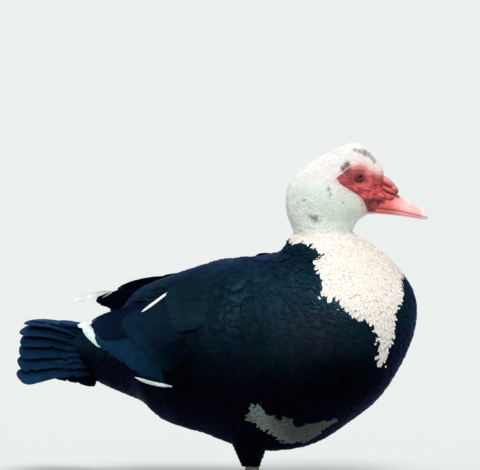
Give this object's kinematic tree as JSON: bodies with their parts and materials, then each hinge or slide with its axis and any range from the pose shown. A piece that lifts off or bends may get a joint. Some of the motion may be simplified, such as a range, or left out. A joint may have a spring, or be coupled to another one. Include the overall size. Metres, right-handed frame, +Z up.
{
  "type": "muscovy duck",
  "caption": "Life-size standing muscovy drake with a deep body, folded wings, fanned tail, fleshy face and webbed feet, its neck drawn in and its head turned to one side.",
  "frame": {"origin": "on the floor under the centre of the bird's outline seen from above", "axes": "+X forward along the body, +Y to the bird's left, +Z up"},
  "size_m": [0.4907, 0.2058, 0.4067],
  "materials": {
    "dark_plumage": "black feathers with a blue and green sheen",
    "white_plumage": "soft matte white feathers",
    "face_skin": "bare red skin, pebbled and slightly moist",
    "bill_horn": "smooth pink bill skin, paler towards the nail",
    "eye_gloss": "polished dark eye",
    "leg_skin": "scaled dark olive-grey skin",
    "claw_horn": "dark horn"
  },
  "bodies": {
    "root": {"torso": "dark_plumage", "wing_left": "dark_plumage", "wing_right": "dark_plumage", "tail": "dark_plumage", "thigh_left": "dark_plumage", "thigh_right": "dark_plumage", "neck": "white_plumage", "head": "white_plumage", "bill_upper": "bill_horn", "bill_lower": "bill_horn", "eye_left": "eye_gloss", "eye_right": "eye_gloss", "shank_left": "leg_skin", "shank_right": "leg_skin", "foot_left": "leg_skin", "foot_right": "leg_skin", "claw_left_1": "claw_horn", "claw_left_2": "claw_horn", "claw_left_3": "claw_horn", "claw_left_4": "claw_horn", "claw_right_1": "claw_horn", "claw_right_2": "claw_horn", "claw_right_3": "claw_horn", "claw_right_4": "claw_horn"}
  },
  "joints": []
}
